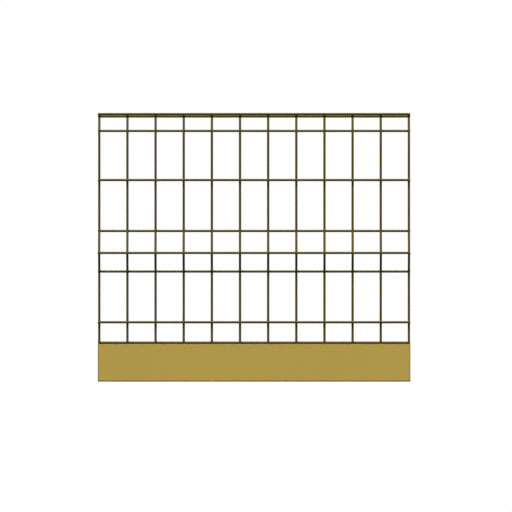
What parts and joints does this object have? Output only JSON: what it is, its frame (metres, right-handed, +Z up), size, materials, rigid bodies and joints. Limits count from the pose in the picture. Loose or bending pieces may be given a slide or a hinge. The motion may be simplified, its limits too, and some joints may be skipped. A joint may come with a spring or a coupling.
{
  "type": "mesh guardrail panel",
  "caption": "Edge-protection panel of welded steel wire mesh with a stiffening fold, a head that leans back, and a folded sheet toe board along its foot.",
  "frame": {"origin": "on the underside of the toe board's bottom flange, half way along the panel, in the plane of the upright wires", "axes": "+X along the panel, to the right as seen from the front; +Y from the front to the back; +Z up"},
  "size_m": [1.3, 0.0742, 1.118],
  "materials": {
    "wire_paint": null,
    "board_paint": "ochre powder coat on folded steel sheet, satin"
  },
  "bodies": {
    "root": {"toe_board": "board_paint", "upright_wire_01": "wire_paint", "upright_wire_02": "wire_paint", "upright_wire_03": "wire_paint", "upright_wire_04": "wire_paint", "upright_wire_05": "wire_paint", "upright_wire_06": "wire_paint", "upright_wire_07": "wire_paint", "upright_wire_08": "wire_paint", "upright_wire_09": "wire_paint", "upright_wire_10": "wire_paint", "upright_wire_11": "wire_paint", "upright_wire_12": "wire_paint", "foot_wire": "wire_paint", "sill_wire": "wire_paint", "lower_line_wire": "wire_paint", "fold_bottom_wire": "wire_paint", "fold_nose_wire": "wire_paint", "fold_top_wire": "wire_paint", "upper_line_wire": "wire_paint", "head_bend_wire": "wire_paint", "top_back_wire": "wire_paint", "top_rail_wire": "wire_paint"}
  },
  "joints": []
}
